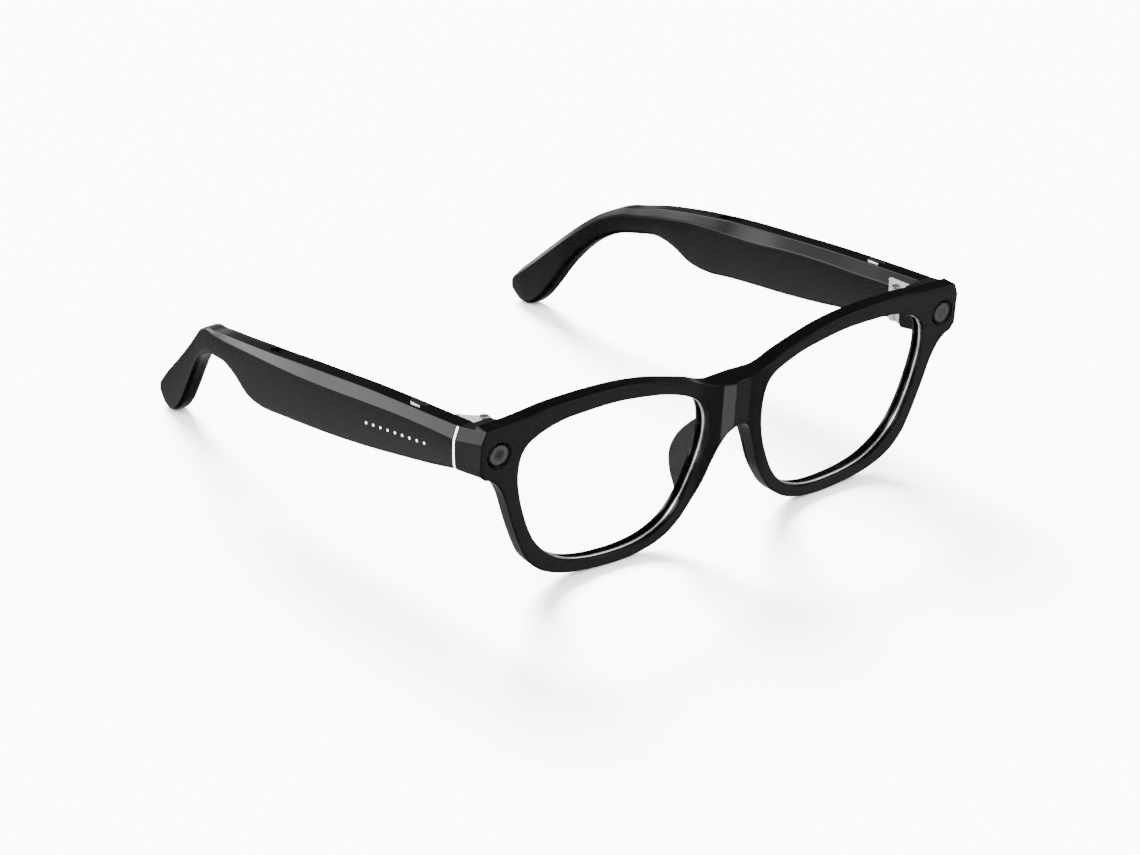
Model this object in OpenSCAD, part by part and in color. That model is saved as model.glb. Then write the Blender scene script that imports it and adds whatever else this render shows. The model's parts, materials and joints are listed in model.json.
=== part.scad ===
// Smart glasses: a front with lenses, camera and status light, and two folding temples
// that hold the electronics.
// Millimetres, +Z up, front facing -Y. Right and left are the wearer's: left is +X.
// Origin: on the table, under the middle of the glasses with both temples open.

/* [Front] */
// Y of the bridge on the front plane
front_y = -76.9; // [-80:0.1:-70]
// Height of the camera centre above the table
eye_line_z = 38.3; // [36:0.05:44]
// Forward lean of the front on the table
front_tilt = 6.1; // [0:0.1:10]
// Backward sweep of each half of the front
wrap_angle = 2.4; // [0:0.1:5]
// Depth of the rims
rim_depth = 4.2; // [3.6:0.1:6]
// How far the bridge stands forward of the rims
bridge_rise = 2.5; // [0:0.1:3]
// Thickness of the lenses
lens_thick = 1.3; // [1:0.1:1.3]

/* [Camera and light] */
// Distance of each window from the middle
window_x = 70.1; // [68:0.1:71]
// Radius of the window
window_r = 2.75; // [2:0.05:3]
// Radius of the recess around it
recess_r = 3.5; // [3:0.05:4]
// Radius of the camera barrel
barrel_r = 2.3; // [1.5:0.1:2.6]

/* [Temples] */
// Distance from the middle of the glasses to the middle of a temple
temple_x = 72.6; // [70:0.1:74]
// Thickness of a temple
temple_thick = 7; // [6.4:0.1:8]
// Wall thickness of the shells
wall = 1.1; // [0.9:0.1:1.4]
// Position of the seam behind the bridge
seam = 11.5; // [11:0.1:12]

/* [Hinges] */
// Distance of the hinge screw from the middle
hinge_x = 65.2; // [64:0.1:66]
// Distance of the hinge screw behind the bridge
hinge_back = 14.6; // [14:0.1:16]
// Radius of the hinge barrel
knuckle_r = 1.7; // [1.5:0.05:2]
// Radius of the hinge screw
screw_r = 0.7; // [0.5:0.05:0.9]

/* [Hidden] */
$fn = 48;
gap = 0.3;           // between bodies that move past each other
fit = 0.05;          // radial play of the hinge screw, and between seated pieces
trim_thick = 0.9;    // seam plate between end piece and temple
cover_thick = 1.2;
hinge_y = front_y + hinge_back;
trim_y = front_y + seam;
temple_y = trim_y + trim_thick + gap;
half_t = temple_thick / 2;
part_x = temple_x - 1.9;          // parting plane between outer shell and inner cover
cover_end = front_y + 98;         // rear end of the inner cover
lip_depth = 1.5;                  // front lip of the rim, before the lens groove
ring_thick = 0.4;
lens_front = lip_depth + ring_thick + 0.1;
groove_end = lens_front + lens_thick + 0.05;
groove = 0.8;                     // how far the lens groove cuts outside the opening
smooth = 3;                       // curve points between two outline points

// window parts: depths behind the front face
bezel_front = 0.45;
bezel_thick = 0.5;
glass_front = 1;
glass_thick = 0.6;
barrel_front = 1.9;
housing_front = 5.05;
housing_depth = 1.25;
housing_w = 3.9;
room_x = 67.7;                    // inner side of the room behind the window

// hinge
hinge_top = eye_line_z + 4.8;
hinge_bottom = eye_line_z - 3.6;
knuckle_h = (hinge_top - hinge_bottom) / 3;
knuckle_x = hinge_x - knuckle_r;  // inner side of the hinge
leaf_x = temple_x - half_t;       // inner face of the temple
leaf_thick = 0.8;
leaf_z = [hinge_bottom + 2.2, hinge_top - 2.2];   // heights of the leaf screws
leaf_screw_x = 66.8;
leaf_screw_r = 0.5;
leaf_screw_head_r = 0.8;
temple_leaf_y = hinge_y + 4.2;

// temple parts: distances behind the bridge, and sizes across, along and up
button_back = 29.9;
button_travel = 0.3;
grille_back = 84.3;
grille_x = 72.2;
grille_slope = 7;
mark_count = 9;
mark_r = 0.45;
contact_back = 40;
contact_z = 34.8;
contact_pitch = 3.2;
contact_r = 0.9;
land = 0.3;                       // height of the charging land on the inner face
microphone_back = 20;
board_back = 37;
board_size = [0.8, 26, 4];
processor_size = [1, 6, 3.2];
memory_size = [1.2, 8, 2.6];
battery_back = 65;
battery_size = [3.6, 25, 7];
speaker_back = 84.5;
speaker_size = [3, 11, 6.4];
switch_size = [2.8, 4, 1.8];

black = [0.09, 0.09, 0.09];
satin = [0.13, 0.13, 0.13];
silver = [0.85, 0.85, 0.86];
clear = [0.9, 0.93, 0.95, 0.3];
green = [0.05, 0.25, 0.12];

// ---- curves ----

// Smooth curve from b to c, guided by the neighbours a and d
function spline(a, b, c, d, t) =
    0.5 * (2 * b + (c - a) * t + (2 * a - 5 * b + 4 * c - d) * t * t
           + (3 * b - a - 3 * c + d) * t * t * t);

function closed_curve(pts, steps) =
    let (n = len(pts))
    [for (i = [0 : n - 1]) for (k = [0 : steps - 1])
        spline(pts[(i + n - 1) % n], pts[i], pts[(i + 1) % n], pts[(i + 2) % n], k / steps)];

function open_curve(pts, steps) =
    let (n = len(pts))
    concat([for (i = [0 : n - 2]) for (k = [0 : steps - 1])
                spline(pts[max(i - 1, 0)], pts[i], pts[i + 1], pts[min(i + 2, n - 1)], k / steps)],
           [pts[n - 1]]);

function unit(v) = v / norm(v);

// Anticlockwise closed outline moved outwards by d
function grow(loop, d) =
    let (n = len(loop))
    [for (i = [0 : n - 1])
        let (t = unit(loop[(i + 1) % n] - loop[(i + n - 1) % n]))
        loop[i] + d * [t[1], -t[0]]];

// ---- outlines of one half of the front: distance from the middle, height from the eye line ----

lens_opening = closed_curve([
    [64.1, -7], [63.3, -1.6], [60.2, 1.7], [53.3, 4.2], [46.4, 4.9], [36, 5.1], [26.1, 4],
    [20.1, 2.8], [13.4, 0.3], [10.1, -2.9], [8.9, -8.3], [9.6, -14.6], [11.7, -20.8],
    [14.8, -27.2], [18.6, -31.6], [24, -34.4], [30, -35.6], [37, -35.7], [43, -35.1],
    [48.5, -33.6], [53.6, -30.6], [57.6, -26.5], [60.7, -20.6], [63.1, -13.2]], smooth);

brow_line = open_curve([
    [74.4, 6.2], [73.6, 6.7], [65, 7.5], [56, 8.6], [45, 9], [35, 8.7], [27, 7.7], [20, 6.1],
    [13.7, 4.4], [10.5, 3.2], [7.5, 2.5], [4.5, 2.6], [0, 2.9]], smooth);

lower_edge = open_curve([
    [0, -9.1], [1.8, -9.6], [3.9, -11.8], [6.4, -17.1], [8.3, -22.2], [10.2, -26], [14.3, -31.9],
    [19.4, -35.8], [25.5, -37.8], [31.6, -38.5], [38, -38.4], [47, -37.5], [54.8, -34.9],
    [59.6, -30.8], [62.4, -25.8], [65.2, -18.9], [67.4, -12.7], [68.8, -9.8], [70.6, -7.4],
    [72.5, -6.1], [73.8, -5.7], [74.7, -4.4]], smooth);

half_outline = concat(lower_edge, [[75.2, 1]], brow_line);

function mirrored(pts) = [for (i = [len(pts) - 2 : -1 : 1]) [-pts[i][0], pts[i][1]]];

whole_outline = concat(half_outline, mirrored(half_outline));

// ---- placing ----

module at_side(side) mirror([side < 0 ? 1 : 0, 0, 0]) children();

// Front plane: x outwards, y behind the front face, z up from the eye line
module on_front() translate([0, front_y, eye_line_z]) rotate([front_tilt, 0, 0]) children();

module on_half(side) at_side(side) on_front() rotate([0, 0, wrap_angle]) children();

// Flat shape between two depths behind the front face
module plate(from, to) rotate([90, 0, 0]) translate([0, 0, -to]) linear_extrude(to - from) children();

// Round thing in the window, between two depths behind the front face
module in_window(side) on_half(side) translate([window_x, 0, 0]) rotate([-90, 0, 0]) children();

// Solid through a list of rings with the same number of points
module loft(rings) {
    n = len(rings[0]);
    m = len(rings);
    polyhedron(
        [for (r = rings) for (p = r) p],
        concat([[for (i = [0 : n - 1]) i]],
               [for (j = [0 : m - 2]) for (i = [0 : n - 1]) let (k = (i + 1) % n)
                   each [[j * n + i, (j + 1) * n + i, (j + 1) * n + k],
                         [j * n + i, (j + 1) * n + k, j * n + k]]],
               [[for (i = [n - 1 : -1 : 0]) (m - 1) * n + i]]));
}

// ---- temple shape ----

// Distance behind the bridge, middle x, half thickness, top z, bottom z,
// outer bevel width and height, inner bevel width and height
temple_rows = [
    [12.7, 72.6, 3.5, 44.3, 33.4, 1.4, 3.4, 1.5, 3.2],
    [22, 72.6, 3.5, 43.9, 32, 1.4, 3.5, 1.5, 3.2],
    [34, 72.6, 3.5, 43.4, 30.1, 1.4, 3.7, 1.5, 3.3],
    [47, 72.6, 3.5, 42.7, 28.4, 1.4, 3.7, 1.6, 3],
    [60, 72.6, 3.5, 41.7, 27.2, 1.4, 3.5, 1.6, 3],
    [72, 72.6, 3.5, 40.5, 26.2, 1.3, 2.9, 1.6, 3.6],
    [82, 72.4, 3.4, 39.4, 25.3, 1.2, 2, 1.6, 3.2],
    [90, 71.9, 3.3, 38.5, 24.6, 1, 1.3, 1.5, 2.6],
    [97, 71.4, 3.1, 37.7, 24.4, 0.8, 0.8, 1.4, 2.3],
    [103, 70.7, 3, 37.1, 25.9, 0.6, 0.6, 1.4, 2.3],
    [109, 69.8, 2.9, 36.6, 27.8, 0.6, 0.6, 1.3, 2.2],
    [115, 68.4, 2.8, 35.7, 27.9, 0.6, 0.6, 1.2, 2],
    [121, 66.7, 2.7, 33.7, 26.5, 0.6, 0.6, 1.1, 1.8],
    [127, 64.7, 2.6, 30.7, 23.2, 0.6, 0.6, 1, 1.6],
    [132, 62.8, 2.5, 27.6, 18.8, 0.6, 0.6, 1, 1.5],
    [137, 61.2, 2.5, 24, 12.9, 0.6, 0.6, 1, 1.5],
    [141, 60.3, 2.5, 20.8, 7.3, 0.6, 0.6, 1, 1.5],
    [145, 59.5, 2.5, 17.2, 2.4, 0.6, 0.6, 1, 1.5],
    [149, 58.9, 2.5, 13.5, 0.25, 0.7, 0.7, 1, 1.4],
    [153, 58.4, 2.4, 9.6, 0.25, 0.8, 0.8, 1, 1.2],
    [156.5, 58.1, 1.6, 6.3, 2.1, 0.6, 0.6, 0.6, 0.6]];

function temple_ring(row, in = 0) =
    let (y = front_y + row[0], x = row[1], h = row[2] - in, top = row[3] - in, low = row[4] + in,
         foot = 0.9)
    [[x + h - row[5], y, top], [x + h, y, top - row[6]], [x + h, y, low + foot],
     [x + h - foot, y, low], [x - h + foot, y, low], [x - h, y, low + foot],
     [x - h, y, top - row[8]], [x - h + row[7], y, top]];

temple_curve = open_curve(temple_rows, 2);

// Height of the temple's top at a distance behind the bridge
function temple_top(d) = lookup(d, [for (r = temple_rows) [r[0], r[3]]]);

// Box standing d behind the bridge in a temple, size [x, y, z], by its centre
module temple_box(d, x, z, size) translate([x, front_y + d, z]) cube(size, center = true);

// ---- front ----

// End piece behind the front plate: ring at a distance behind the bridge
function end_ring(d, x_in, x_out, low, top, in = 0) =
    let (y = front_y + d, a = x_in + in, b = x_out - in,
         u = eye_line_z + top - in, l = eye_line_z + low + in)
    [[b - 1.4, y, u], [b, y, u - 3.4], [b, y, l + 0.9], [b - 0.9, y, l],
     [a + 0.9, y, l], [a, y, l + 0.9], [a, y, u - 2], [a + 2, y, u]];

module end_block() {
    loft([end_ring(4, 65.4, 75.4, -5.5, 6.5),
          end_ring(8, 63.8, 75.9, -5.3, 6.3),
          end_ring(seam, 63.6, temple_x + half_t, -4.9, 6)]);
}

// Space behind the window, open at the seam
module end_room(in) {
    loft([end_ring(7.6, room_x - wall, 75.8, -5.3, 6.3, wall + in),
          end_ring(seam + 0.1, room_x - wall, temple_x + half_t, -4.9, 6, wall + in)]);
}

module bridge_ridge() {
    flat = 2.15;
    foot = 5.3;
    blend = 11;
    back = 1.4;
    on_front() intersection() {
        translate([0, 0, -12]) linear_extrude(17) polygon([
            [-blend, blend * tan(wrap_angle)], [-foot, -bridge_rise / 2], [-flat, -bridge_rise],
            [flat, -bridge_rise], [foot, -bridge_rise / 2], [blend, blend * tan(wrap_angle)],
            [blend, back], [-blend, back]]);
        plate(-3, back) polygon(grow(whole_outline, -0.15));
    }
}

module front_frame() color(black) difference() {
    union() {
        for (side = [-1, 1]) {
            on_half(side) plate(0, rim_depth) polygon(half_outline);
            at_side(side) end_block();
        }
        bridge_ridge();
    }
    for (side = [-1, 1]) {
        on_half(side) {
            plate(-1, rim_depth + 8) polygon(lens_opening);
            plate(lip_depth, groove_end) polygon(grow(lens_opening, groove));
            plate(groove_end - 0.01, rim_depth + 8) polygon(grow(lens_opening, groove / 2));
        }
        in_window(side) {
            cylinder(r = recess_r, h = 2, center = true);
            cylinder(r = window_r, h = 6);
        }
        at_side(side) {
            end_room(0);
            leaf_screws_front(0);
        }
    }
}

module lens(side) color(clear) on_half(side)
    plate(lens_front, lens_front + lens_thick) polygon(grow(lens_opening, groove - fit));

module lens_ring(side) color(silver) on_half(side)
    plate(lip_depth + 0.02, lip_depth + ring_thick) difference() {
        polygon(grow(lens_opening, groove - fit));
        polygon(grow(lens_opening, -0.35));
    }

module nose_pad(side) color(satin) on_half(side) difference() {
    hull() {
        translate([5.4, rim_depth, -13]) scale([1.4, 2.2, 1.6]) sphere(r = 1, $fn = 24);
        translate([10.2, rim_depth, -25.6]) scale([1.5, 2, 2.4]) sphere(r = 1, $fn = 24);
        translate([9.6, rim_depth + 3.8, -18]) scale([1.4, 2.4, 4.2]) sphere(r = 1, $fn = 24);
    }
    translate([0, rim_depth - 10, -40]) cube([30, 10, 60]);
}

module window_bezel(side) color(satin) in_window(side) translate([0, 0, bezel_front]) difference() {
    cylinder(r = recess_r - fit, h = bezel_thick);
    translate([0, 0, -1]) cylinder(r = window_r - 0.15, h = bezel_thick + 2);
}

module window_glass(side) color(clear) in_window(side) translate([0, 0, glass_front])
    cylinder(r = window_r - fit, h = glass_thick);

// Square block behind the window
module window_block(w, from, to) translate([-w / 2, -w / 2, from]) cube([w, w, to - from]);

module camera_barrel() color(black) in_window(1) difference() {
    union() {
        translate([0, 0, barrel_front]) cylinder(r = barrel_r, h = housing_front - barrel_front);
        window_block(housing_w, housing_front, housing_front + housing_depth);
    }
    translate([0, 0, barrel_front - 0.1]) cylinder(r = barrel_r - 0.7, h = 1.2);
}

module camera_sensor() color(green) in_window(1)
    window_block(housing_w, housing_front + housing_depth + fit, housing_front + housing_depth + 0.5);

module status_light() color(satin) in_window(-1) {
    board = housing_front + housing_depth;
    translate([0, 0, barrel_front]) cylinder(r = barrel_r, h = 0.8);
    window_block(2.4, barrel_front + 0.8, board);
    window_block(housing_w, board, board + 0.5);
}

// Plate that closes the end piece, flush with its rear face
module end_cover(side) color(black) at_side(side) intersection() {
    end_room(fit);
    translate([0, trim_y - cover_thick, 0]) cube([100, cover_thick, 100]);
}

// Bright plate at the seam, with the outline of the temple's front end
module seam_plate(side) color(silver) at_side(side) difference() {
    translate([0, trim_y + trim_thick, 0]) rotate([90, 0, 0])
        linear_extrude(trim_thick)
            polygon([for (p = temple_ring(temple_rows[0])) [p[0], p[2]]]);
    translate([temple_x, trim_y, eye_line_z]) rotate([-90, 0, 0])
        cylinder(r = 1.2, h = 3, center = true);
}

// ---- hinges ----

module front_hinge_leaf(side) color(silver) at_side(side) {
    low = hinge_bottom + knuckle_h + gap / 2;
    high = hinge_top - knuckle_h - gap / 2;
    difference() {
        union() {
            translate([knuckle_x, trim_y, hinge_bottom])
                cube([leaf_x - fit - knuckle_x, trim_thick, hinge_top - hinge_bottom]);
            translate([knuckle_x, trim_y, low]) cube([2 * knuckle_r, hinge_back - seam, high - low]);
            translate([hinge_x, hinge_y, low]) cylinder(r = knuckle_r, h = high - low);
        }
        translate([hinge_x, hinge_y, low - 1]) cylinder(r = screw_r + fit, h = high - low + 2);
        leaf_screws_front(fit);
    }
}

// Screw from its head's face along +Z
module leaf_screw(length, play) {
    translate([0, 0, -0.01]) cylinder(r = leaf_screw_head_r + play, h = 0.35 + play);
    cylinder(r = leaf_screw_r + play, h = length + play);
}

module leaf_screws_front(play) for (z = leaf_z)
    translate([leaf_screw_x, trim_y + trim_thick, z]) rotate([90, 0, 0])
        leaf_screw(trim_thick + 2.2, play);

module leaf_screws_temple(play) for (z = leaf_z)
    translate([leaf_x - leaf_thick, temple_leaf_y, z]) rotate([0, 90, 0]) leaf_screw(2.2, play);

module front_hinge_screws(side) color(silver) at_side(side) leaf_screws_front(0);

module temple_hinge_screws(side) color(silver) at_side(side) leaf_screws_temple(0);

module temple_hinge_leaf(side) color(silver) at_side(side) {
    front = 13.4;
    rear = 20.4;
    difference() {
        union() {
            translate([leaf_x - leaf_thick, front_y + front, hinge_bottom])
                cube([leaf_thick, rear - front, hinge_top - hinge_bottom]);
            for (low = [hinge_bottom, hinge_top - knuckle_h + gap / 2]) {
                high = low + knuckle_h - gap / 2;
                translate([hinge_x, hinge_y, low]) cylinder(r = knuckle_r, h = high - low);
                translate([0, 0, low]) linear_extrude(high - low) polygon([
                    [hinge_x, hinge_y - knuckle_r], [leaf_x, front_y + front],
                    [leaf_x, front_y + rear], [hinge_x, hinge_y + knuckle_r]]);
            }
        }
        translate([hinge_x, hinge_y, hinge_bottom - 1])
            cylinder(r = screw_r + fit, h = hinge_top - hinge_bottom + 2);
        leaf_screws_temple(fit);
        // room for the front leaf's barrel between the two plates
        translate([hinge_x, hinge_y, hinge_bottom + knuckle_h - gap / 2])
            cylinder(r = knuckle_r + gap, h = knuckle_h + gap);
    }
}

module hinge_screw(side) color(silver) at_side(side) translate([hinge_x, hinge_y, 0]) difference() {
    union() {
        translate([0, 0, hinge_bottom]) cylinder(r = screw_r, h = hinge_top - hinge_bottom);
        translate([0, 0, hinge_top]) cylinder(r = 1.05, h = 0.5);
    }
    translate([-2, -0.15, hinge_top + 0.25]) cube([4, 0.3, 1]);
}

// ---- temples ----

button_top = temple_top(button_back) + 0.5;
flange_z = button_top - 2.5;      // underside of the button's flange
switch_z = 39.65;

module temple_body() loft([for (r = temple_curve) temple_ring(r)]);

module temple_cavity() loft([for (r = temple_curve) if (r[0] > 14 && r[0] < 95) temple_ring(r, wall)]);

module obround(length, width) hull() for (s = [-1, 1])
    translate([0, s * (length - width) / 2]) circle(r = width / 2);

module cover_region(in) translate([60, front_y, 10]) cube([part_x - 60 - in, cover_end - front_y - in, 50]);

module on_grille() translate([grille_x, front_y + grille_back, temple_top(grille_back)])
    rotate([-grille_slope, 0, 0]) children();

// Marks of the touch strip along the outer face
module touch_dots(play) for (i = [0 : mark_count - 1])
    translate([temple_x + half_t - 0.3, front_y + 23.2 + i * 22.4 / (mark_count - 1),
               36.8 - i * 2.1 / (mark_count - 1)])
        rotate([0, 90, 0]) cylinder(r = mark_r + play, h = 0.35 + play);

module on_land() translate([leaf_x - land, front_y + contact_back, contact_z]) children();

module contact_pins(play) on_land() for (i = [-1 : 1])
    translate([0, i * contact_pitch, 0]) rotate([0, 90, 0]) cylinder(r = contact_r + play, h = 1.7);

// Raised flat that the charging clip seats on
module charging_land() on_land() rotate([90, 0, 90]) linear_extrude(1) rotate(90)
    obround(5 * contact_pitch, 5);

module outer_shell(side) color(black) at_side(side) difference() {
    union() {
        difference() {
            temple_body();
            temple_cavity();
            cover_region(0);
        }
        // shelf under the switch
        temple_box(button_back, 73.3, switch_z - switch_size[2] / 2 - 0.45, [4.2, 5.4, 0.8]);
    }
    translate([temple_x, front_y + button_back, button_top - 4]) linear_extrude(6) obround(5.6, 2.6);
    on_grille() translate([0, 0, -3]) linear_extrude(6) obround(8.8, 2.3);
    translate([temple_x + 0.6, front_y + microphone_back, 29]) cylinder(r = 0.4, h = 5);
    leaf_screws_temple(0);
    if (side < 0) touch_dots(0.03);
}

module inner_cover(side) color(black) at_side(side) difference() {
    union() {
        intersection() {
            temple_body();
            cover_region(fit);
        }
        if (side < 0) charging_land();
    }
    temple_cavity();
    leaf_screws_temple(0);
    if (side < 0) contact_pins(fit);
}

module push_button(side) color(satin) at_side(side)
    translate([temple_x, front_y + button_back, 0]) {
        translate([0, 0, flange_z]) linear_extrude(button_top - flange_z) obround(5, 2);
        translate([0, 0, flange_z]) linear_extrude(0.4) obround(6.8, 1.9);
    }

module button_switch(side) color(silver) at_side(side) {
    temple_box(button_back, temple_x + 0.1, switch_z, switch_size);
    translate([temple_x, front_y + button_back, switch_z])
        cylinder(r = 0.8, h = flange_z - button_travel - 0.05 - switch_z);
}

module main_board(side) color(green) at_side(side) {
    x = temple_x + 1.8;
    temple_box(board_back, x, 35.4, board_size);
    temple_box(board_back - 5, x - (board_size[0] + processor_size[0]) / 2, 35.4, processor_size);
    temple_box(board_back + 6, x - (board_size[0] + memory_size[0]) / 2, 35, memory_size);
}

module battery(side) color(silver) at_side(side) temple_box(battery_back, temple_x + 0.1, 33, battery_size);

module speaker(side) color(satin) at_side(side) {
    temple_box(speaker_back, 72.4, 32.3, speaker_size);
    // cone that faces the grille
    temple_box(speaker_back, 72.4, 32.3 + speaker_size[2] / 2 + 0.3, [2.2, 9, 0.6]);
}

module speaker_grille(side) color(satin) at_side(side) on_grille() difference() {
    translate([0, 0, -0.9]) linear_extrude(0.85) obround(8.7, 2.2);
    for (i = [-2.5 : 2.5]) translate([0, i * 1.1, 0]) rotate([0, 0, 25]) cube([1.5, 0.35, 4], center = true);
}

module microphone(side) color(silver) at_side(side) temple_box(microphone_back, temple_x + 0.6, 34.3, [2.4, 3, 1]);

module touch_marks() color([0.9, 0.9, 0.9]) at_side(-1) touch_dots(0);

module charging_contacts() color([0.83, 0.68, 0.35]) at_side(-1) contact_pins(0);

// ---- parts ----

front_frame();
lens(-1);  // right_lens
lens(1);  // left_lens
lens_ring(-1);  // right_lens_ring
lens_ring(1);  // left_lens_ring
nose_pad(-1);  // right_nose_pad
nose_pad(1);  // left_nose_pad
window_bezel(-1);  // light_bezel
window_bezel(1);  // camera_bezel
window_glass(-1);  // light_window
window_glass(1);  // camera_window
camera_barrel();
camera_sensor();
status_light();
end_cover(-1);  // right_end_cover
end_cover(1);  // left_end_cover
seam_plate(-1);  // right_seam_plate
seam_plate(1);  // left_seam_plate
front_hinge_leaf(-1);  // right_front_hinge_leaf
front_hinge_leaf(1);  // left_front_hinge_leaf
front_hinge_screws(-1);  // right_front_hinge_screws
front_hinge_screws(1);  // left_front_hinge_screws
outer_shell(-1);  // right_outer_shell
inner_cover(-1);  // right_inner_cover
temple_hinge_leaf(-1);  // right_temple_hinge_leaf
temple_hinge_screws(-1);  // right_temple_hinge_screws
hinge_screw(-1);  // right_hinge_screw
main_board(-1);  // right_main_board
battery(-1);  // right_battery
speaker(-1);  // right_speaker
speaker_grille(-1);  // right_speaker_grille
microphone(-1);  // right_microphone
button_switch(-1);  // right_button_switch
push_button(-1);  // right_push_button
outer_shell(1);  // left_outer_shell
inner_cover(1);  // left_inner_cover
temple_hinge_leaf(1);  // left_temple_hinge_leaf
temple_hinge_screws(1);  // left_temple_hinge_screws
hinge_screw(1);  // left_hinge_screw
main_board(1);  // left_main_board
battery(1);  // left_battery
speaker(1);  // left_speaker
speaker_grille(1);  // left_speaker_grille
microphone(1);  // left_microphone
button_switch(1);  // left_button_switch
push_button(1);  // left_push_button
touch_marks();
charging_contacts();
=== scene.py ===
"""Smart glasses: the finished look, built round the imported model.

Everything is in metres in the model's own frame: +Z up, the front faces -Y, +X is the wearer's
left. Shapes are worked out in millimetres and scaled by MM when their mesh is made. A shape is a
pair of points and faces. What comes in a left and a right one is worked out for the left and
mirrored: side is 1 for left and -1 for right.
"""
import json
import math

import bmesh
import bpy
import numpy as np
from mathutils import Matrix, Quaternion, Vector


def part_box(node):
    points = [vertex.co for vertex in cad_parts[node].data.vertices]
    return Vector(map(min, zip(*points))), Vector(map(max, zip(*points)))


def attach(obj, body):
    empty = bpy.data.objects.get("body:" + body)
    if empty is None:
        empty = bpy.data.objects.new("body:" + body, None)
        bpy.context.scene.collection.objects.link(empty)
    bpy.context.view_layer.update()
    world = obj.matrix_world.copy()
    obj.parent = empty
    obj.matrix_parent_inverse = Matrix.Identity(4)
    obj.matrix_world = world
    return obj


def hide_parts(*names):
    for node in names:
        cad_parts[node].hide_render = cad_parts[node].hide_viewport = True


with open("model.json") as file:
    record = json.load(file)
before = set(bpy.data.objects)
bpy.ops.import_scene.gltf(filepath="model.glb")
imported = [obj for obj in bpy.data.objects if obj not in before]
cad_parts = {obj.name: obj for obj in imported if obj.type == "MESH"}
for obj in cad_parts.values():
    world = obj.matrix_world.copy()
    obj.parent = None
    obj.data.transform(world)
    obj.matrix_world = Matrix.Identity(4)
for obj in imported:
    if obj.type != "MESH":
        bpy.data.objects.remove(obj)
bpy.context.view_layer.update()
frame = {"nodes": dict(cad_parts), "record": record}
NODES = frame["nodes"]
MM = 0.001

# ---- driving sizes of the front, millimetres ----

TILT = math.radians(6.1)        # forward lean of the front
WRAP = math.radians(2.4)        # backward sweep of each half
EYE_LINE = 38.3                 # height that the front's outlines are measured from
FRONT_Y = -76.9                 # the rims' front plane at the middle
RIM_DEPTH = 4.2
RIM_ROUND = 0.3                 # rounding of the rim's edges
LIP = 1.5                       # front lip of the rim
GROOVE_END = 3.35               # back of the lens groove
GROOVE_DEPTH = 0.8
BACK_LIP = 0.1                  # how far the wall behind the groove stands back from the lip
BRIDGE_X = 7.5                  # where the bridge joins the rims
BRIDGE_STEPS = 20               # steps up the joint of bridge and rim
WINDOW_X = 70.1                 # middle of the round windows
SEAM = 11.5                     # back of the end piece, behind FRONT_Y
FOOT = 0.9                      # bevel of the lower edges of end pieces and temples

# Outlines of one half of the front: distance from the middle, height from the eye line
LENS_OPENING = [
    (64.1, -7), (63.3, -1.6), (60.2, 1.7), (53.3, 4.2), (46.4, 4.9), (36, 5.1), (26.1, 4),
    (20.1, 2.8), (13.4, 0.3), (10.1, -2.9), (8.9, -8.3), (9.6, -14.6), (11.7, -20.8),
    (14.8, -27.2), (18.6, -31.6), (24, -34.4), (30, -35.6), (37, -35.7), (43, -35.1),
    (48.5, -33.6), (53.6, -30.6), (57.6, -26.5), (60.7, -20.6), (63.1, -13.2)]
LOWER_EDGE = [
    (0, -9.1), (1.8, -9.6), (3.9, -11.8), (6.4, -17.1), (8.3, -22.2), (10.2, -26), (14.3, -31.9),
    (19.4, -35.8), (25.5, -37.8), (31.6, -38.5), (38, -38.4), (47, -37.5), (54.8, -34.9),
    (59.6, -30.8), (62.4, -25.8), (65.2, -18.9), (67.4, -12.7), (68.8, -9.8), (70.6, -7.4),
    (72.5, -6.1), (73.8, -5.7), (74.7, -4.4)]
END_X, END_TOP, END_BEVEL = 75.25, 6.9, (1.3, 3.1)      # upper outer corner of the end piece
BROW_LINE = [
    (END_X - END_BEVEL[0], END_TOP), (65, 7.5), (56, 8.6), (45, 9), (35, 8.7), (27, 7.7), (20, 6.1),
    (13.7, 4.4), (10.5, 3.2), (7.5, 2.5), (4.5, 2.6), (0, 2.9)]
RIM_MIDDLE = (36, -15)          # the rim's stations stand on rays from here

# How far the bridge stands forward at a distance from the middle, and where its face creases
BRIDGE_RISE = [(0, 2.5), (2.15, 2.59), (5.3, 1.47), (9.5, 0.39), (11, 0.12), (12.5, 0.02), (14, 0)]
BRIDGE_CREASES = [2.1, 2.15, 2.2, 5.2, 5.3, 5.4]

# ---- driving sizes of the temples, millimetres; BACK is a distance behind FRONT_Y ----

TEMPLE_X = 72.6                 # middle of the temple's straight part
TEMPLE_BACK = 12.7
COVER_END_BACK = 98.0
TIP_BACK = 156.5
PART_X = 70.7                   # parting plane between outer shell and inner cover
BULGE = 0.12                    # crown of the temple's flat sides
BUTTON_BACK = 29.9
BUTTON_SIZE, BUTTON_RISE = (5, 2), 0.5
BUTTON_SLOT, BUTTON_SLOT_DEPTH = (5.6, 2.6), 3
GRILLE_X, GRILLE_BACK = 72.2, 84.3
GRILLE_POCKET, GRILLE_DEPTH = (8.8, 2.3), 1.1
MIC_X, MIC_BACK, MIC_HOLE = 73.2, 20.0, (0.81, 0.8)
MIC_FLOOR, MIC_CEILING = 20, 34
LAND_SIZE, LAND_RISE = (16.0, 5.0), 0.3
LAND_BACK, LAND_Z, LAND_FACE = 40.0, 34.8, 69.1         # its middle, and x of the cover's face
ABOVE = 60                      # a height over everything, for the tops of cutters

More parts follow.
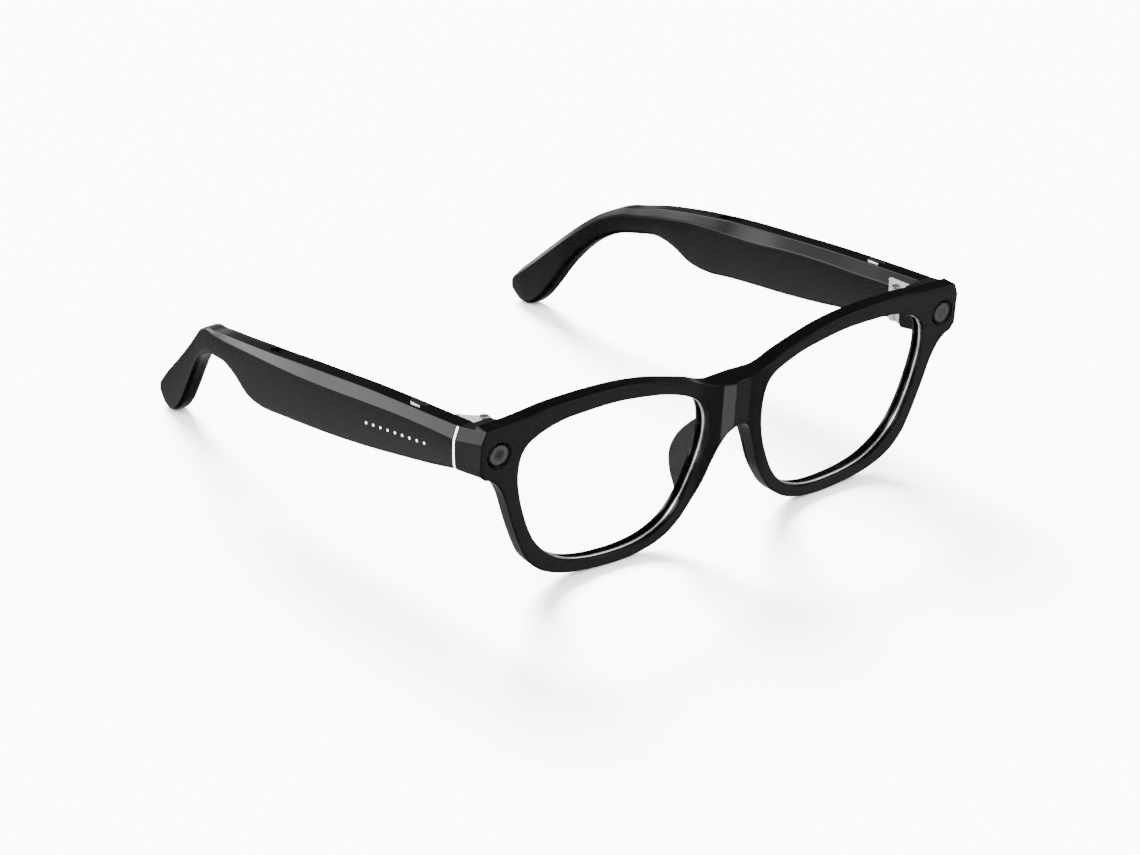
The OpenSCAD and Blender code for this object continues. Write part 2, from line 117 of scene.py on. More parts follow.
# Distance behind FRONT_Y, middle x, half thickness, top z, bottom z,
# outer bevel width and height, inner bevel width and height
TEMPLE_ROWS = [
    (12.7, 72.6, 3.5, 44.3, 33.4, 1.3, 3.1, 1.5, 3.2),
    (22, 72.6, 3.5, 43.9, 31.6, 1.2, 2.85, 1.5, 3.2),
    (34, 72.6, 3.5, 43.4, 29.7, 1.2, 2.85, 1.5, 3.3),
    (47, 72.6, 3.5, 42.7, 27.8, 1.3, 3.1, 1.6, 3),
    (60, 72.6, 3.5, 41.7, 26.3, 1.3, 3.15, 1.6, 3),
    (72, 72.6, 3.5, 40.8, 25.3, 1.22, 2.95, 1.6, 3.6),
    (82, 72.4, 3.4, 39.9, 24.4, 1.05, 2.55, 1.6, 3.2),
    (90, 71.9, 3.3, 39.1, 23.6, 0.92, 2.25, 1.5, 2.6),
    (97, 71.4, 3.1, 38.3, 24.3, 0.82, 2, 1.4, 2.3),
    (103, 70.7, 3, 37.5, 27.2, 0.74, 1.8, 1.4, 2.3),
    (109, 69.8, 2.9, 36.6, 28.8, 0.65, 1.6, 1.3, 2.2),
    (115, 68.4, 2.8, 35.3, 28.1, 0.5, 1.1, 1.2, 2),
    (121, 66.7, 2.7, 34.1, 26.9, 0.6, 0.6, 1.1, 1.8),
    (127, 64.7, 2.6, 31.2, 24, 0.6, 0.6, 1, 1.6),
    (132, 62.8, 2.5, 27.6, 19.8, 0.6, 0.6, 1, 1.5),
    (137, 61.2, 2.5, 23.4, 14, 0.6, 0.6, 1, 1.5),
    (141, 60.3, 2.5, 19.9, 8.5, 0.6, 0.6, 1, 1.5),
    (145, 59.5, 2.5, 16.4, 3.4, 0.6, 0.6, 1, 1.5),
    (149, 58.9, 2.5, 13, 0.35, 0.7, 0.7, 1, 1.4),
    (153, 58.4, 2.4, 9.6, 0.25, 0.8, 0.8, 1, 1.2),
    (TIP_BACK, 58.1, 1.6, 6.3, 2.1, 0.6, 0.6, 0.6, 0.6)]


# ---- curves ----

def spline(points, closed=False, steps=12):
    """Catmull-Rom curve: 0.5 (2b + (c-a)t + (2a-5b+4c-d)t^2 + (3b-a-3c+d)t^3) between b and c."""
    p = np.array(points, float)
    if closed:
        p = np.vstack([p[-1:], p, p[:2]])
    else:
        p = np.vstack([p[:1], p, p[-1:]])
    t = (np.arange(steps) / steps)[None, :, None]
    a, b, c, d = (p[i:len(p) - 3 + i, None, :] for i in range(4))
    curve = 0.5 * (2 * b + (c - a) * t + (2 * a - 5 * b + 4 * c - d) * t ** 2
                   + (3 * b - a - 3 * c + d) * t ** 3)
    curve = curve.reshape(-1, p.shape[1])
    return curve if closed else np.vstack([curve, p[-2:-1]])


def sample(wanted, places, curve):
    """Points of a curve at the wanted places, where places rise along it."""
    return np.stack([np.interp(wanted, places, column) for column in curve.T], -1)


def even(curve, count):
    """Count points spaced evenly by length along an open curve."""
    length = np.concatenate([[0], np.cumsum(np.linalg.norm(np.diff(curve, axis=0), axis=1))])
    return sample(np.linspace(0, length[-1], count), length, curve)


def unit(vectors):
    """Vectors in rows, each made one long."""
    return vectors / np.linalg.norm(vectors, axis=1)[:, None]


def to_right(tangents):
    """Directions turned a quarter turn to the right."""
    return np.stack([tangents[:, 1], -tangents[:, 0]], 1)


def outward(curve):
    """Unit normals to the right of an open curve's direction."""
    return to_right(unit(np.gradient(curve, axis=0)))


def rounded(corners, radii, steps=5):
    """Closed polygon with each corner c rounded: (1-t)^2 p + 2t(1-t) c + t^2 q, where p and q
    stand a radius before and after the corner, at most nearly halfway to the next one."""
    t = np.linspace(0, 1, steps)[:, None]
    arcs = []
    for c, before, after, r in zip(corners, np.roll(corners, 1, 0), np.roll(corners, -1, 0), radii):
        p, q = (c + (end - c) * min(r / max(np.linalg.norm(end - c), 1e-9), 0.48)
                for end in (before, after))
        arcs.append((1 - t) ** 2 * p + 2 * t * (1 - t) * c + t ** 2 * q)
    return np.vstack(arcs)


# ---- shapes: points in millimetres, and faces ----

def grid_faces(rows, cols, wrap_rows=False):
    """Quads of a grid of points numbered row by row, whose columns run round."""
    r, c = np.meshgrid(np.arange(rows if wrap_rows else rows - 1), np.arange(cols), indexing="ij")
    r2, c2 = (r + 1) % rows, (c + 1) % cols
    quads = np.stack([r * cols + c, r * cols + c2, r2 * cols + c2, r2 * cols + c], -1)
    return quads.reshape(-1, 4)


def skin(rings, wrap_rows=False):
    """Surface through rings, an array (rings, points, 3); wrap_rows joins the last to the first."""
    return rings.reshape(-1, 3), grid_faces(*rings.shape[:2], wrap_rows).tolist()


def lofted(rings):
    """Closed solid through rings, with a flat face at each end."""
    rings = np.asarray(rings)
    m, n = rings.shape[:2]
    points, faces = skin(rings)
    return points, faces + [list(range(n)), list(range((m - 1) * n, m * n))]


def mirrored(shape, side):
    """The shape for one side."""
    points, faces = shape
    return points * [side, 1, 1], faces


def joined(shapes):
    """Several shapes as one."""
    points, faces, count = [], [], 0
    for more_points, more_faces in shapes:
        points.append(more_points)
        faces.extend([i + count for i in face] for face in more_faces)
        count += len(more_points)
    return np.vstack(points), faces


# ---- meshes ----

SHARP = 32                      # an edge that turns by more degrees stays sharp
WELD = 0.002                    # points closer than this are merged


def new_mesh(name, shape, weld=WELD):
    """A clean mesh in metres."""
    points, faces = shape
    mesh = bpy.data.meshes.new(name)
    mesh.from_pydata((points * MM).tolist(), [], faces)
    mesh.validate()
    clean(mesh, weld)
    return mesh


def clean(mesh, weld=WELD):
    """Merges points that coincide and turns all faces outwards."""
    bm = bmesh.new()
    bm.from_mesh(mesh)
    bmesh.ops.remove_doubles(bm, verts=bm.verts, dist=weld * MM)
    bmesh.ops.recalc_face_normals(bm, faces=bm.faces)
    bm.to_mesh(mesh)
    bm.free()


def linked(name, data):
    """A new object in the scene."""
    obj = bpy.data.objects.new(name, data)
    bpy.context.scene.collection.objects.link(obj)
    return obj


def make_piece(name, shape, body, material, sharp=SHARP, weld=WELD):
    """A finished piece that rides on a body."""
    piece = linked(name, new_mesh(name, shape, weld))
    shade(piece, sharp)
    piece.data.materials.append(material)
    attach(piece, body)
    return piece


def shade(piece, sharp=SHARP):
    """Smooth shading that keeps large faces flat next to their rounded edges."""
    piece.data.shade_smooth()
    piece.data.set_sharp_from_angle(angle=math.radians(sharp))
    normals = piece.modifiers.new("normals", "WEIGHTED_NORMAL")
    normals.mode, normals.keep_sharp = "FACE_AREA", True


def cut(piece, shapes):
    """Cuts closed shapes out of a piece."""
    cutters = [linked("cutter", new_mesh("cutter", shape)) for shape in shapes]
    piece.modifiers.clear()
    for cutter in cutters:
        m = piece.modifiers.new("cut", "BOOLEAN")
        m.operation, m.solver, m.object = "DIFFERENCE", "EXACT", cutter
    bpy.context.view_layer.update()
    result = bpy.data.meshes.new_from_object(piece.evaluated_get(bpy.context.evaluated_depsgraph_get()))
    piece.modifiers.clear()
    piece.data = result
    for cutter in cutters:
        bpy.data.objects.remove(cutter)
    clean(result)
    shade(piece)


def append(piece, shape):
    """Adds another closed shape to a piece."""
    extra = new_mesh("extra", shape)
    bm = bmesh.new()
    bm.from_mesh(piece.data)
    bm.from_mesh(extra)
    bm.to_mesh(piece.data)
    bm.free()
    bpy.data.meshes.remove(extra)
    piece.modifiers.clear()
    shade(piece)


def second_material(piece, material, wanted):
    """Gives the faces whose normal is wanted another material."""
    piece.data.materials.append(material)
    for face in piece.data.polygons:
        if wanted(face.normal):
            face.material_index = 1


# ---- placing ----

def hand(side):
    """How names of pieces and bodies on a side start."""
    return "left" if side > 0 else "right"


def on_front(points, side):
    """(x, depth, height) of one half of the front to the frame: wrap, lean, lift.
    x' = x cos w - d sin w min(1, x / BRIDGE_X), d' = x sin w + d cos w - rise(x) (1 - d / RIM_DEPTH)."""
    x, d, h = np.moveaxis(np.asarray(points, float), -1, 0)
    rise = np.interp(x, *np.transpose(BRIDGE_RISE)) * np.clip(1 - d / RIM_DEPTH, 0, 1)
    x2 = x * math.cos(WRAP) - d * math.sin(WRAP) * np.clip(x / BRIDGE_X, 0, 1)
    y = x * math.sin(WRAP) + d * math.cos(WRAP) - rise
    y2 = y * math.cos(TILT) - h * math.sin(TILT)
    z2 = y * math.sin(TILT) + h * math.cos(TILT)
    return np.stack([side * x2, FRONT_Y + y2, EYE_LINE + z2], -1)


# ---- front ----

ARC = np.linspace(0, math.pi / 2, 5)


def wall_profile():
    """Outer wall of the rim from front to back as (shift outwards, depth), with rounded edges."""
    r = RIM_ROUND
    ahead = [(-r + r * math.sin(a), r - r * math.cos(a)) for a in ARC]
    behind = [(-r + r * math.cos(a), RIM_DEPTH - r + r * math.sin(a)) for a in ARC]
    return ahead + behind


def rim_profile():
    """Closed profile of the rim, and where the outer wall stands in it. Each point is the share of
    the way from opening to outline, the shift outwards from that edge in millimetres, and depth."""
    r = RIM_ROUND
    face = [(t, 0, 0) for t in np.linspace(0, 1, 12)[1:-1]]
    wall = [(1, shift, depth) for shift, depth in wall_profile()]
    back = [(t, 0, RIM_DEPTH) for t in np.linspace(1, 0, 8)[1:-1]]
    inside = [(0, BACK_LIP + r - r * math.sin(a), RIM_DEPTH - r + r * math.cos(a)) for a in ARC]
    inside += [(0, BACK_LIP, GROOVE_END), (0, GROOVE_DEPTH, GROOVE_END), (0, GROOVE_DEPTH, LIP),
               (0, 0, LIP)]
    inside += [(0, r - r * math.cos(a), r - r * math.sin(a)) for a in ARC]
    return np.array(face + wall + back + inside), slice(len(face), len(face) + len(wall))


def at_bridge(a, b):
    """Point of the line from a to b at the bridge's end."""
    return a + (b - a) * (BRIDGE_X - a[0]) / (b[0] - a[0])


def rim_outline():
    """Points round one rim, their normals, and how many of them are on the free edge. The free
    edge runs from the bridge along the bottom and back over the brow; the others close the joint."""
    fine_count, station_count = 1400, 420
    outline = np.vstack([spline(LOWER_EDGE), [(END_X, END_TOP - END_BEVEL[1])], spline(BROW_LINE)])
    outline = even(outline, fine_count)
    beyond = np.flatnonzero(outline[:, 0] >= BRIDGE_X)
    first, last = beyond[0], beyond[-1]
    edge = np.vstack([at_bridge(outline[first - 1], outline[first]), outline[first:last + 1],
                      at_bridge(outline[last + 1], outline[last])])
    edge = even(edge, station_count)
    normals = outward(edge)
    bottom, top = edge[0] - RIM_ROUND * normals[0], edge[-1] - RIM_ROUND * normals[-1]
    joint = np.linspace(top, bottom, BRIDGE_STEPS + 1)[1:-1]
    return np.vstack([edge, joint]), np.vstack([normals, np.zeros_like(joint)]), len(edge)


def facing_opening(outer):
    """Points of the lens opening on the rays from RIM_MIDDLE to the outer points, and normals."""
    opening = spline(LENS_OPENING, closed=True, steps=24)
    angle = np.unwrap(np.arctan2(*(opening - RIM_MIDDLE).T[::-1]))
    turn = 2 * math.pi
    angles = np.concatenate([angle - turn, angle, angle + turn])
    loop = np.vstack([opening] * 3)
    wanted = np.arctan2(*(outer - RIM_MIDDLE).T[::-1])
    step = 0.004
    tangent = sample(wanted + step, angles, loop) - sample(wanted - step, angles, loop)
    return sample(wanted, angles, loop), to_right(unit(tangent))


def rim_half():
    """One rim with the face of its end piece: the profile at stations round the opening.
    P = (1-t) (inner + shift n_inner) + t (outer + shift n_outer), with depth from the profile."""
    outer, outer_n, free = rim_outline()
    inner, inner_n = facing_opening(outer)
    profile, wall = rim_profile()
    t, shift, depth = profile.T[:, :, None]
    a = inner[:, None] + np.where(t == 0, shift, RIM_ROUND) * inner_n[:, None]
    b = outer[:, None] + np.where(t == 1, shift, -RIM_ROUND) * outer_n[:, None]
    flat = (1 - t) * a + t * b
    grid = np.stack([flat[..., 0], np.broadcast_to(depth[:, 0], flat.shape[:2]), flat[..., 1]], -1)
    # at the joint the wall collapses onto the front and back edges and has no faces
    grid[free:, wall, 1] = np.where(depth[wall, 0] < RIM_DEPTH / 2, 0, RIM_DEPTH)
    rows, cols = grid.shape[:2]
    faces = grid_faces(rows, cols, wrap_rows=True)
    row, col = faces[:, 0] // cols, faces[:, 0] % cols
    at_joint = (row >= free - 1) & (col >= wall.start) & (col < wall.stop - 1)
    return grid, faces[~at_joint].tolist()


def edge_at(x, curve, normals):
    """Points of an outline at the distances x, and normals that stand upright at the middle."""
    n = sample(x, curve[:, 0], normals)
    n[:, 0] *= np.clip(x, 0, 1)
    return sample(x, curve[:, 0], curve), unit(n)


def bridge():
    """The bridge between the rims: cross-sections in |x| that run up the face, over the brow,
    down the back and under the lower edge."""
    lower, brow = spline(LOWER_EDGE, steps=40), spline(BROW_LINE, steps=40)
    x = np.unique(np.concatenate([np.linspace(0, BRIDGE_X, 26), BRIDGE_CREASES]))
    low, low_n = edge_at(x, lower, outward(lower))
    top, top_n = edge_at(x, brow[::-1], outward(brow)[::-1])
    t = np.linspace(0, 1, BRIDGE_STEPS + 1)[:, None, None]
    face = (1 - t) * (low - RIM_ROUND * low_n) + t * (top - RIM_ROUND * top_n)
    wall = wall_profile()[1:-1]
    rows = [(p, 0) for p in face]
    rows += [(top + shift * top_n, depth) for shift, depth in wall]
    rows += [(p, RIM_DEPTH) for p in face[::-1]]
    rows += [(low + shift * low_n, depth) for shift, depth in wall[::-1]]
    return np.stack([np.insert(p, 1, depth, axis=1) for p, depth in rows], 1)


def end_ring(x_in, x_out, low, high, depth):
    """Cross-section (x, depth, height) of an end piece, with rounded corners."""
    corners = [(x_out - END_BEVEL[0], high), (x_out, high - END_BEVEL[1]), (x_out, low + FOOT),
               (x_out - FOOT, low), (x_in + FOOT, low), (x_in, low + FOOT), (x_in, high - 2),
               (x_in + 2, high)]
    ring = rounded(np.array(corners, float), [0.2, 0.25] + [0.5] * 6)
    return np.insert(ring, 1, depth, axis=1)


def end_block(side):
    """Straight loft from just behind the rim's face, a trace larger than the rim's corner, to the
    seam, where it is as high as the temple and reaches as far out."""
    _, middle, half, top, low = TEMPLE_ROWS[0][:5]
    x_ahead, x_behind, low_ahead = 65.4, 63.6, -5.1
    trace = (0.06, 0.03, 0.02)
    ahead = end_ring(x_ahead, END_X + trace[0], low_ahead, END_TOP + trace[1], RIM_ROUND + trace[2])
    ahead = on_front(ahead, 1)
    behind = end_ring(x_behind, middle + half, low, top, FRONT_Y + SEAM)
    t = np.linspace(0, 1, 12)[:, None, None]
    return mirrored(lofted((1 - t) * ahead + t * behind), side)


def build_front(material):
    """The frame with its bridge, and both end pieces, bored for the windows: wide for the bezel,
    then narrower for the disc and what is behind it."""
    half, half_faces = rim_half()
    section = bridge()
    halves = []
    for side in (-1, 1):
        halves.append((on_front(half, side).reshape(-1, 3), half_faces))
        halves.append(skin(on_front(section, side)))
    front = make_piece("front", joined(halves), "front", material, weld=0.06)
    blocks = joined([end_block(side) for side in (-1, 1)])
    ends = make_piece("end_pieces", blocks, "front", material)
    bore = [(0, -3), (3.5, -3), (3.5, 1), (2.85, 1.05), (2.85, 6), (0, 6)]
    for side in (-1, 1):
        for piece in (front, ends):
            cut(piece, [skin(revolved(bore, side))])
    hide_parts("front_frame")


# ---- temples ----

def temple_rows(start, end, count):
    """Rows like TEMPLE_ROWS at even distances from start to end."""
    rows = spline(TEMPLE_ROWS, steps=10)
    return sample(np.linspace(start, end, count), rows[:, 0], rows)


def top_at(back):
    """Height of the temple's top."""
    return temple_rows(back, back, 1)[0, 3]


def side_points(x, low, high, sign, count=5):
    """Points up a side of the temple from low to high, pushed out by BULGE (1 - s^2)."""
    s = np.linspace(-1, 1, count + 2)[1:-1]
    return [(x + sign * BULGE * (1 - a * a), low + (high - low) * (a + 1) / 2) for a in s]


def temple_section(row, part):
    """Cross-section of a temple: whole, or the outer or inner side of the parting plane."""
    back, x, half, top, low, out_width, out_height, in_width, in_height = row
    out_x, in_x = x + half, x - half
    outside = side_points(out_x, low + FOOT, top - out_height, 1)[::-1]
    inside = side_points(in_x, low + FOOT, top - in_height, -1)
    flat = [0.05] * len(outside)
    outer = [(out_x - out_width, top), (out_x, top - out_height), *outside, (out_x, low + FOOT),
             (out_x - FOOT, low)]
    inner = [(in_x + FOOT, low), (in_x, low + FOOT), *inside, (in_x, top - in_height),
             (in_x + in_width, top)]
    outer_radii, inner_radii = [0.2, 0.25, *flat, 0.6, 0.6], [0.6, 0.6, *flat, 0.35, 0.25]
    parting = [0.08, 0.08]
    if part == "outer":
        corners = outer + [(PART_X, low), (PART_X, top)]
        radii = outer_radii + parting
    elif part == "inner":
        edge = PART_X - 0.04
        inner[-1] = (min(inner[-1][0], edge - 0.1), top)
        corners = [(edge, top), (edge, low)] + inner
        radii = parting + inner_radii
    else:
        corners, radii = outer + inner, outer_radii + inner_radii
    ring = rounded(np.array(corners, float), radii)
    return np.insert(ring, 1, FRONT_Y + back, axis=1)


def temple_rings(start, end, count, part):
    """Cross-sections of a part of the temple at even distances."""
    return [temple_section(row, part) for row in temple_rows(start, end, count)]


def tip_rings(last):
    """Rings that close the rear end in a dome: scale cos a about the middle, back by 0.55 sin a."""
    middle = last.mean(0)
    rings = []
    for a in np.linspace(0.2, math.pi / 2 * 0.98, 7):
        ring = middle + (last - middle) * [math.cos(a), 1, math.cos(a)]
        ring[:, 1] += 0.55 * math.sin(a)
        rings.append(ring)
    return rings


def obround(length, width, count=14):
    """Outline with round ends, long in its second direction."""
    turn = np.linspace(-math.pi / 2, math.pi / 2, count)
    r, half = width / 2, (length - width) / 2
    return np.vstack([np.stack([r * np.sin(turn), half + r * np.cos(turn)], 1),
                      np.stack([-r * np.sin(turn), -half - r * np.cos(turn)], 1)])


def level(outline, x, back, z):
    """Outline laid flat at height z, with its middle at x and a distance behind FRONT_Y."""
    return np.insert(outline + [x, FRONT_Y + back], 2, z, axis=1)


def slot(side, size, x, back, floor, ceiling):
    """Upright prism with round ends, for cutting."""
    outline = obround(*size)
    return mirrored(lofted([level(outline, x, back, z) for z in (floor, ceiling)]), side)


def button_slot(side):
    """Well of the push-button, open at the temple's top."""
    floor = top_at(BUTTON_BACK) - BUTTON_SLOT_DEPTH
    return slot(side, BUTTON_SLOT, TEMPLE_X, BUTTON_BACK, floor, ABOVE)


def grille_pocket(side):
    """Shallow well over the speaker's grille."""
    floor = top_at(GRILLE_BACK) - GRILLE_DEPTH
    return slot(side, GRILLE_POCKET, GRILLE_X, GRILLE_BACK, floor, ABOVE)


def microphone_hole(side):
    """Nearly round hole in the temple's lower edge."""
    return slot(side, MIC_HOLE, MIC_X, MIC_BACK, MIC_FLOOR, MIC_CEILING)


def build_temple(side, material):
    """Outer shell, whole behind the cover's end, and the inner cover on the other side of PART_X."""
    body = hand(side) + "_temple"
    fore = lofted(temple_rings(TEMPLE_BACK, COVER_END_BACK, 120, "outer"))
    shell = make_piece(hand(side) + "_shell", mirrored(fore, side), body, material)
    cut(shell, [button_slot(side), grille_pocket(side), microphone_hole(side)])
    aft = temple_rings(COVER_END_BACK, TIP_BACK, 120, "whole")
    append(shell, mirrored(lofted(aft + tip_rings(aft[-1])), side))
    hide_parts(hand(side) + "_outer_shell")
    inner = lofted(temple_rings(TEMPLE_BACK, COVER_END_BACK - 0.05, 110, "inner"))
    cover = make_piece(hand(side) + "_cover", mirrored(inner, side), body, material)
    cut(cover, [grille_pocket(side)])
    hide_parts(hand(side) + "_inner_cover")


def push_button(side, top_material, painted_highlight_material):
    """Button in its slot: outlines that shrink by r (1 - cos a) round its top edge, and a slight
    crown. Its long sides get a bright material as a painted highlight."""
    top, r = top_at(BUTTON_BACK) + BUTTON_RISE, 0.28
    length, width = BUTTON_SIZE
    levels = [(0, -2.4), (0, -r - 0.05)]
    levels += [(r - r * math.cos(a), -r + r * math.sin(a)) for a in np.linspace(0, math.pi / 2, 6)]
    levels += [(0.6, 0.02), (0.95, 0.03)]
    rings = [level(obround(length - 2 * inset, width - 2 * inset), TEMPLE_X, BUTTON_BACK, top + up)
             for inset, up in levels]
    piece = make_piece(hand(side) + "_button", mirrored(lofted(rings), side), hand(side) + "_button",
                       top_material)
    # painted highlight: the long side walls take the bright material
    second_material(piece, painted_highlight_material, lambda normal: abs(normal.x) > 0.95)
    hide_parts(hand(side) + "_push_button")


def seam_plate(side, material, dark):
    """Plate between end piece and temple: the temple's first cross-section, a little smaller at
    both rounded edges, bright on its outer side only; its other faces are black as painted shade
    for the gap it sits in."""
    half_width, half_height = TEMPLE_ROWS[0][2], 5.4
    base = temple_section((SEAM, *TEMPLE_ROWS[0][1:]), "whole")
    middle = base.mean(0)
    rings = []
    for inset, back in ((0.2, 0.26), (0.05, 0.32), (0, 0.4), (0, 0.96), (0.05, 1.04), (0.2, 1.1)):
        scale = 1 - inset * np.array([1 / half_width, 0, 1 / half_height])
        rings.append(middle + (base - middle) * scale + [0, back, 0])
    piece = make_piece(hand(side) + "_seam", mirrored(lofted(rings), side), "front",
                       material)
    # painted shade: faces not turned outwards are black, like the shaded gap between end piece and
    # temple
    second_material(piece, dark, lambda normal: normal.x * side < 0.5)
    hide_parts(hand(side) + "_seam_plate")


def touch_dots(material):
    """Nine slightly domed dots along the outer face of the right temple, whose bulge they follow."""
    count, radius = 9, 0.35
    levels = [(1, -0.2), (1, 0.015), (0.93, 0.035), (0.6, 0.05), (0.25, 0.055)]
    turn = np.linspace(0, 2 * math.pi, 28, endpoint=False)
    dots = []
    for back, z in zip(np.linspace(23.2, 45.6, count), np.linspace(36.8, 34.7, count)):
        _, x, half, top, low, _, bevel_height = temple_rows(back, back, 1)[0, :7]
        low, high = low + FOOT, top - bevel_height
        s = 2 * (z - low) / (high - low) - 1
        face = x + half + BULGE * (1 - s * s)
        dots.append(lofted([np.stack([np.full(len(turn), face + up),
                                      FRONT_Y + back + radius * share * np.cos(turn),
                                      z + radius * share * np.sin(turn)], 1) for share, up in levels]))
    piece = make_piece("touch_dots", mirrored(joined(dots), -1), "right_temple", material)
    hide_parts("touch_marks")


def charging_land(material):
    """Raised flat round the charging pins, on the inside of the right temple."""
    length, width = LAND_SIZE
    rings = []
    for inset, up in ((0, -LAND_RISE), (0, 0.4 * LAND_RISE), (0.08, 0.8 * LAND_RISE), (0.2, LAND_RISE)):
        across, along = obround(length - 2 * inset, width - 2 * inset).T
        rings.append(np.stack([0 * across + LAND_FACE - up, FRONT_Y + LAND_BACK + along,
                               LAND_Z + across], 1))
    make_piece("charging_land", mirrored(lofted(rings), -1), "right_temple", material)


# ---- lenses, rings, pads, windows ----

def opening_loop(count):
    """Points spaced evenly round the lens opening, and their outward normals."""
    loop = spline(LENS_OPENING, closed=True, steps=24)
    loop = even(np.vstack([loop, loop[:1]]), count + 1)[:-1]
    return loop, outward(np.vstack([loop[-2:], loop, loop[:2]]))[2:-2]


def lens(side, material):
    """Lens with a shallow crown: depth = edge depth - crown (1 - s^2) at share s from its middle."""
    front_edge, back_edge, crown, in_groove = 2.05, 3.3, 0.5, 0.7
    loop, normal = opening_loop(180)
    rim = loop + in_groove * normal
    middle = np.array([36, -15.5])
    shares = np.linspace(0.02, 1, 16)
    stations = [(s, front_edge) for s in shares] + [(s, back_edge) for s in shares[::-1]]
    rings = [np.insert(middle + (rim - middle) * s, 1, depth - crown * (1 - s * s), axis=1)
             for s, depth in stations]
    piece = make_piece(hand(side) + "_glass", lofted(on_front(rings, side)), "front",
                       material, sharp=50)
    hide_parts(hand(side) + "_lens")


def lens_ring(side, material):
    """Thin bright ring in front of the lens: a bar with rounded corners bent along the opening.
    The bar's points are a shift outwards from the opening and a depth."""
    bar = [(-0.15, 0.9), (-0.22, 0.98), (-0.22, 1.4), (-0.15, 1.48), (0.6, 1.48), (0.6, 0.9)]
    loop, normal = opening_loop(320)
    rings = np.array([np.insert(loop + shift * normal, 1, depth, axis=1) for shift, depth in bar])
    piece = make_piece(hand(side) + "_ring", skin(on_front(rings, side), wrap_rows=True), "front",
                       material)
    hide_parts(hand(side) + "_lens_ring")


# Height, x where the pad meets the rim, x of its free edge, and how far it reaches back
PAD_ROWS = [
    (-27.5, 12.3, 12.6, 0.2), (-26, 11.3, 12.2, 0.9), (-24, 10.3, 12.2, 1.8),
    (-22, 9.6, 12.3, 2.5), (-19.8, 8.8, 12.4, 3), (-17.4, 8.1, 12.4, 3.1),
    (-14.8, 7.6, 11.9, 2.8), (-12, 7.2, 10.6, 2.1), (-9.9, 6.9, 8.8, 1.2), (-8.4, 6.8, 7.4, 0.3)]
PAD_SUNK = 0.7                  # how far the pad starts inside the rim


def nose_pad(side, material):
    """A fin behind the rim. Cross-sections at each height are stadiums from the rim's back to the
    free edge: half width (1.7 - 0.8 u) at share u, less near the pad's ends, closed by a round."""
    u = np.linspace(0, 1, 10)
    cap = np.linspace(-math.pi / 2, math.pi / 2, 9)[1:-1]
    rings = []
    for height, root, edge, reach in even(spline(PAD_ROWS), 44):
        half = (1.7 - 0.8 * u) * min(1, 0.45 + reach / 4)
        middle, depth = root + (edge - root) * u, RIM_DEPTH - PAD_SUNK + (reach + PAD_SUNK) * u
        left, right = (np.stack([middle + sign * half, depth], 1) for sign in (-1, 1))
        tip = np.stack([middle[-1] + half[-1] * np.sin(cap),
                        depth[-1] + 0.8 * half[-1] * np.cos(cap)], 1)
        rings.append(np.insert(np.vstack([left, tip, right[::-1]]), 2, height, axis=1))
    piece = make_piece(hand(side) + "_pad", lofted(on_front(rings, side)), "front", material,
                       sharp=60)
    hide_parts(hand(side) + "_nose_pad")


def revolved(profile, side, count=96):
    """Rings of a surface of revolution round a window's middle: profile is (radius, depth)."""
    turn = np.linspace(0, 2 * math.pi, count, endpoint=False)
    radius, depth = np.array(profile, float).T[:, :, None]
    rings = np.stack([radius * np.cos(turn) + WINDOW_X, depth + 0 * turn, radius * np.sin(turn)], -1)
    return on_front(rings, side)


def window(side, ring_material, disc_material):
    """Chamfered ring and domed disc in the round recess of an end piece."""
    name = "camera" if side > 0 else "light"
    chamfered = [(3.44, 0.3), (3.38, 0.24), (3.3, 0.26), (2.92, 0.86), (2.8, 0.95), (2.8, 1.3),
                 (3.44, 1.3)]
    ring = make_piece(name + "_ring_piece", skin(revolved(chamfered, side), wrap_rows=True), "front",
                      ring_material)
    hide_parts(name + "_bezel")
    domed = [(2.5 * s, 0.1 + 0.03 * s * s) for s in np.linspace(0.01, 1, 14)]
    domed += [(2.6, 0.17), (2.65, 0.26), (2.65, 1.55), (0.02, 1.55)]
    disc = make_piece(name + "_disc", lofted(revolved(domed, side)), "front",
                      disc_material)
    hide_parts(name + "_window")


# ---- materials ----

def socket(tree, target, value):
    """Links a socket to an input, or sets a constant on it."""
    if isinstance(value, bpy.types.NodeSocket):
        tree.links.new(value, target)
    else:
        target.default_value = value


def node(tree, kind, *values, **inputs):
    """A node with its inputs set in order by values, or by name; names that start with an
    underscore are properties."""
    n = tree.nodes.new("ShaderNode" + kind)
    for key, value in inputs.items():
        if key.startswith("_"):
            setattr(n, key[1:], value)
        else:
            socket(tree, n.inputs[key.replace("_", " ")], value)
    for target, value in zip(n.inputs, values):
        socket(tree, target, value)
    return n


def calc(tree, operation, *values):
    """Result of a sum on sockets or numbers."""
    return node(tree, "Math", *values, _operation=operation).outputs[0]


def ramp(tree, value, low, high, out_low=0.0, out_high=1.0):
    """Smooth step of value from low..high to out_low..out_high."""
    n = node(tree, "MapRange", _interpolation_type="SMOOTHSTEP", Value=value, From_Min=low,
             From_Max=high, To_Min=out_low, To_Max=out_high)
    return n.outputs[0]


def mix_color(tree, share, a, b):
    """From color a to color b by share."""
    n = node(tree, "Mix", share, _data_type="RGBA")
    socket(tree, n.inputs[6], a)
    socket(tree, n.inputs[7], b)
    return n.outputs[2]


def grey(v):
    """Neutral color, opaque."""
    return (v, v, v, 1)


